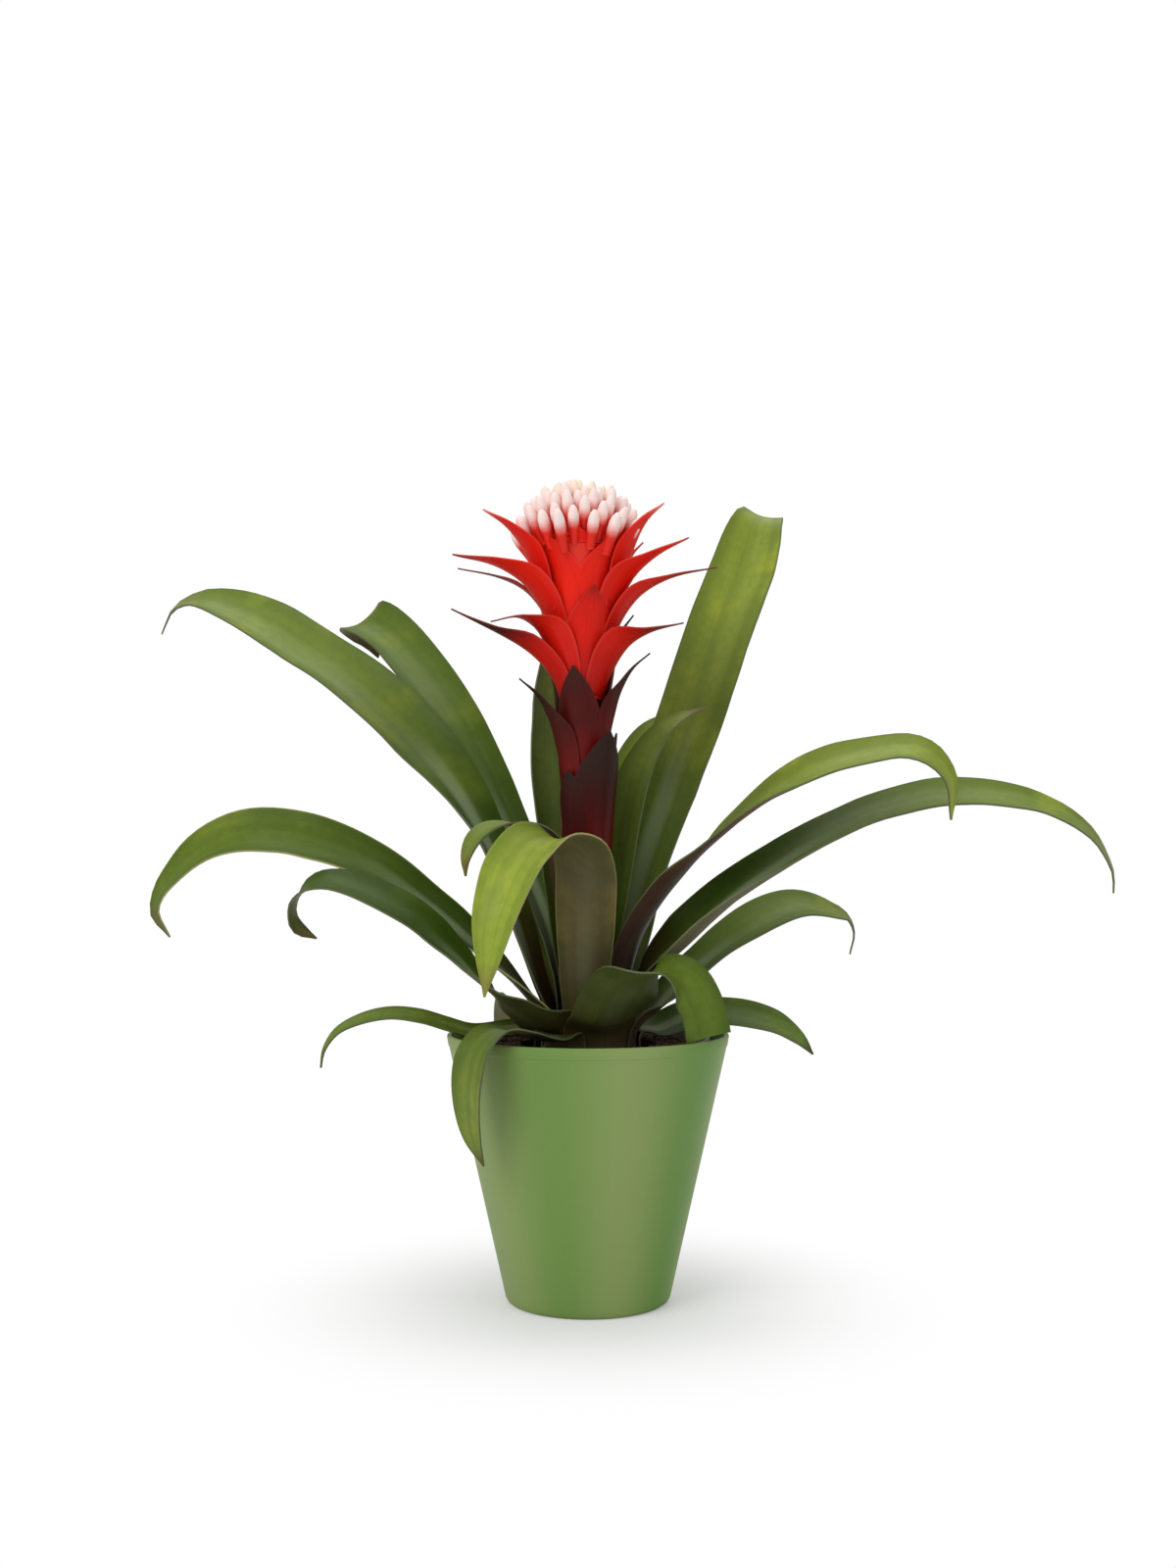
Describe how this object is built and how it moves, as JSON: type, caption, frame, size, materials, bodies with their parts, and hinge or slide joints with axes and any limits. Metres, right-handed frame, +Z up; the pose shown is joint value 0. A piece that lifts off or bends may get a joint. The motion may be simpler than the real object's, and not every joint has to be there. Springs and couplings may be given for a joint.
{
  "type": "potted guzmania bromeliad",
  "caption": "Guzmania bromeliad with arching strap leaves and an upright red flower head with a pale dome of florets, in a plain nursery pot inside a green conical pot.",
  "frame": {"origin": "centre of the green pot's flat bottom", "axes": "+Z up along the pot's axis, -Y towards the viewer, +X to the viewer's right"},
  "size_m": [0.5292, 0.281, 0.4498],
  "materials": {
    "green_plastic": "satin moulded plastic",
    "taupe_plastic": "dull thin plastic",
    "soil": "rough peat and bark",
    "crown": "fibrous stem",
    "leaf": "smooth waxy leaf",
    "leaf_pale": "smooth waxy young leaf",
    "maroon_bract": "waxy bract",
    "red_bract": "waxy bract",
    "floret": "soft petal"
  },
  "bodies": {
    "root": {"cachepot": "green_plastic", "nursery_pot": "taupe_plastic", "soil": "soil", "crown": "crown", "leaf_back_narrow": "leaf", "leaf_back_right": "leaf", "leaf_front_left_small": "leaf", "leaf_upper_right": "leaf", "leaf_upper_left_second": "leaf", "leaf_right_second": "leaf", "leaf_back_right_pale": "leaf", "leaf_upper_left_long": "leaf", "leaf_front_centre": "leaf_pale", "leaf_back_left": "leaf", "leaf_left_long": "leaf", "leaf_right_long": "leaf", "leaf_back_upright": "leaf", "leaf_left_lower": "leaf", "leaf_front_right_folded": "leaf", "leaf_back_long": "leaf", "leaf_right_lower": "leaf", "leaf_left_thin": "leaf", "leaf_right_low": "leaf", "leaf_back_low": "leaf", "leaf_front_left_hanging": "leaf", "leaf_back_drooping": "leaf", "scape": "maroon_bract", "red_bracts": "red_bract", "floret_dome": "floret"}
  },
  "joints": []
}
